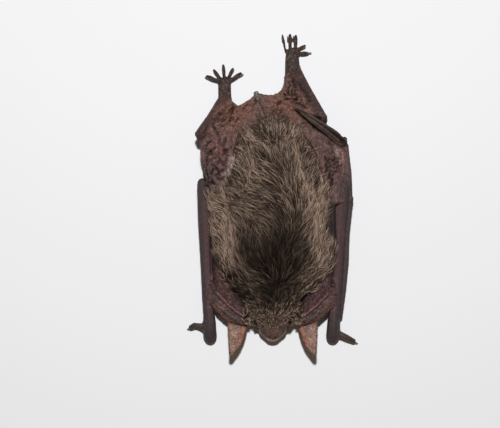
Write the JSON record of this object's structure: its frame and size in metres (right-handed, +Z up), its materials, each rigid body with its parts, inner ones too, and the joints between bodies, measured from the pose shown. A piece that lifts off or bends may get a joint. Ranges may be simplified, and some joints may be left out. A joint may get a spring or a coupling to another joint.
{
  "type": "long-eared bat at rest",
  "caption": "Life-size furred long-eared bat lying on its belly, wings folded along its sides, ears curled back and ear spears pointing forward.",
  "frame": {"origin": "middle of the body's outline on the floor it lies on", "axes": "+Y from the head towards the feet, +Z up from the belly to the back, +X towards the animal's left side"},
  "size_m": [0.0398, 0.0736, 0.0142],
  "materials": {
    "fur": "long soft grey-brown fur, dark at the roots and pale tan at the tips",
    "bare_skin": "thin wrinkled purplish-brown skin with a dull sheen",
    "ear_spear": "thin pinkish-tan skin, finely speckled",
    "claw_horn": "pale translucent horn",
    "eye": "wet black"
  },
  "bodies": {
    "root": {"trunk": "fur", "right_upper_arm": "fur", "left_upper_arm": "fur", "tail_web": "bare_skin", "neck": "fur", "left_foot": "bare_skin", "right_foot": "bare_skin", "head": "fur", "muzzle": "fur", "left_side_web": "bare_skin", "right_side_web": "bare_skin", "right_thigh": "fur", "right_ear": "bare_skin", "left_ear": "bare_skin", "left_thigh": "fur", "left_shoulder_web": "bare_skin", "tail": "bare_skin", "right_fifth_finger": "bare_skin", "right_shoulder_web": "bare_skin", "left_shin": "bare_skin", "right_forearm": "bare_skin", "left_forearm": "bare_skin", "left_fifth_finger": "bare_skin", "right_wrist": "bare_skin", "left_wrist": "bare_skin", "lower_jaw": "bare_skin", "right_fourth_finger": "bare_skin", "right_wing_tip": "bare_skin", "left_fourth_finger": "bare_skin", "left_wing_tip": "bare_skin", "right_third_finger": "bare_skin", "left_third_finger": "bare_skin", "right_shin": "bare_skin", "right_tragus": "ear_spear", "left_tragus": "ear_spear", "right_eye": "eye", "left_eye": "eye", "right_thumb": "bare_skin", "left_thumb": "bare_skin", "nose": "bare_skin", "right_thumb_claw": "claw_horn", "left_thumb_claw": "claw_horn", "right_claw_1": "claw_horn", "right_claw_2": "claw_horn", "right_claw_3": "claw_horn", "right_claw_4": "claw_horn", "right_claw_5": "claw_horn", "left_claw_1": "claw_horn", "left_claw_2": "claw_horn", "left_claw_3": "claw_horn", "left_claw_4": "claw_horn", "left_claw_5": "claw_horn"}
  },
  "joints": []
}
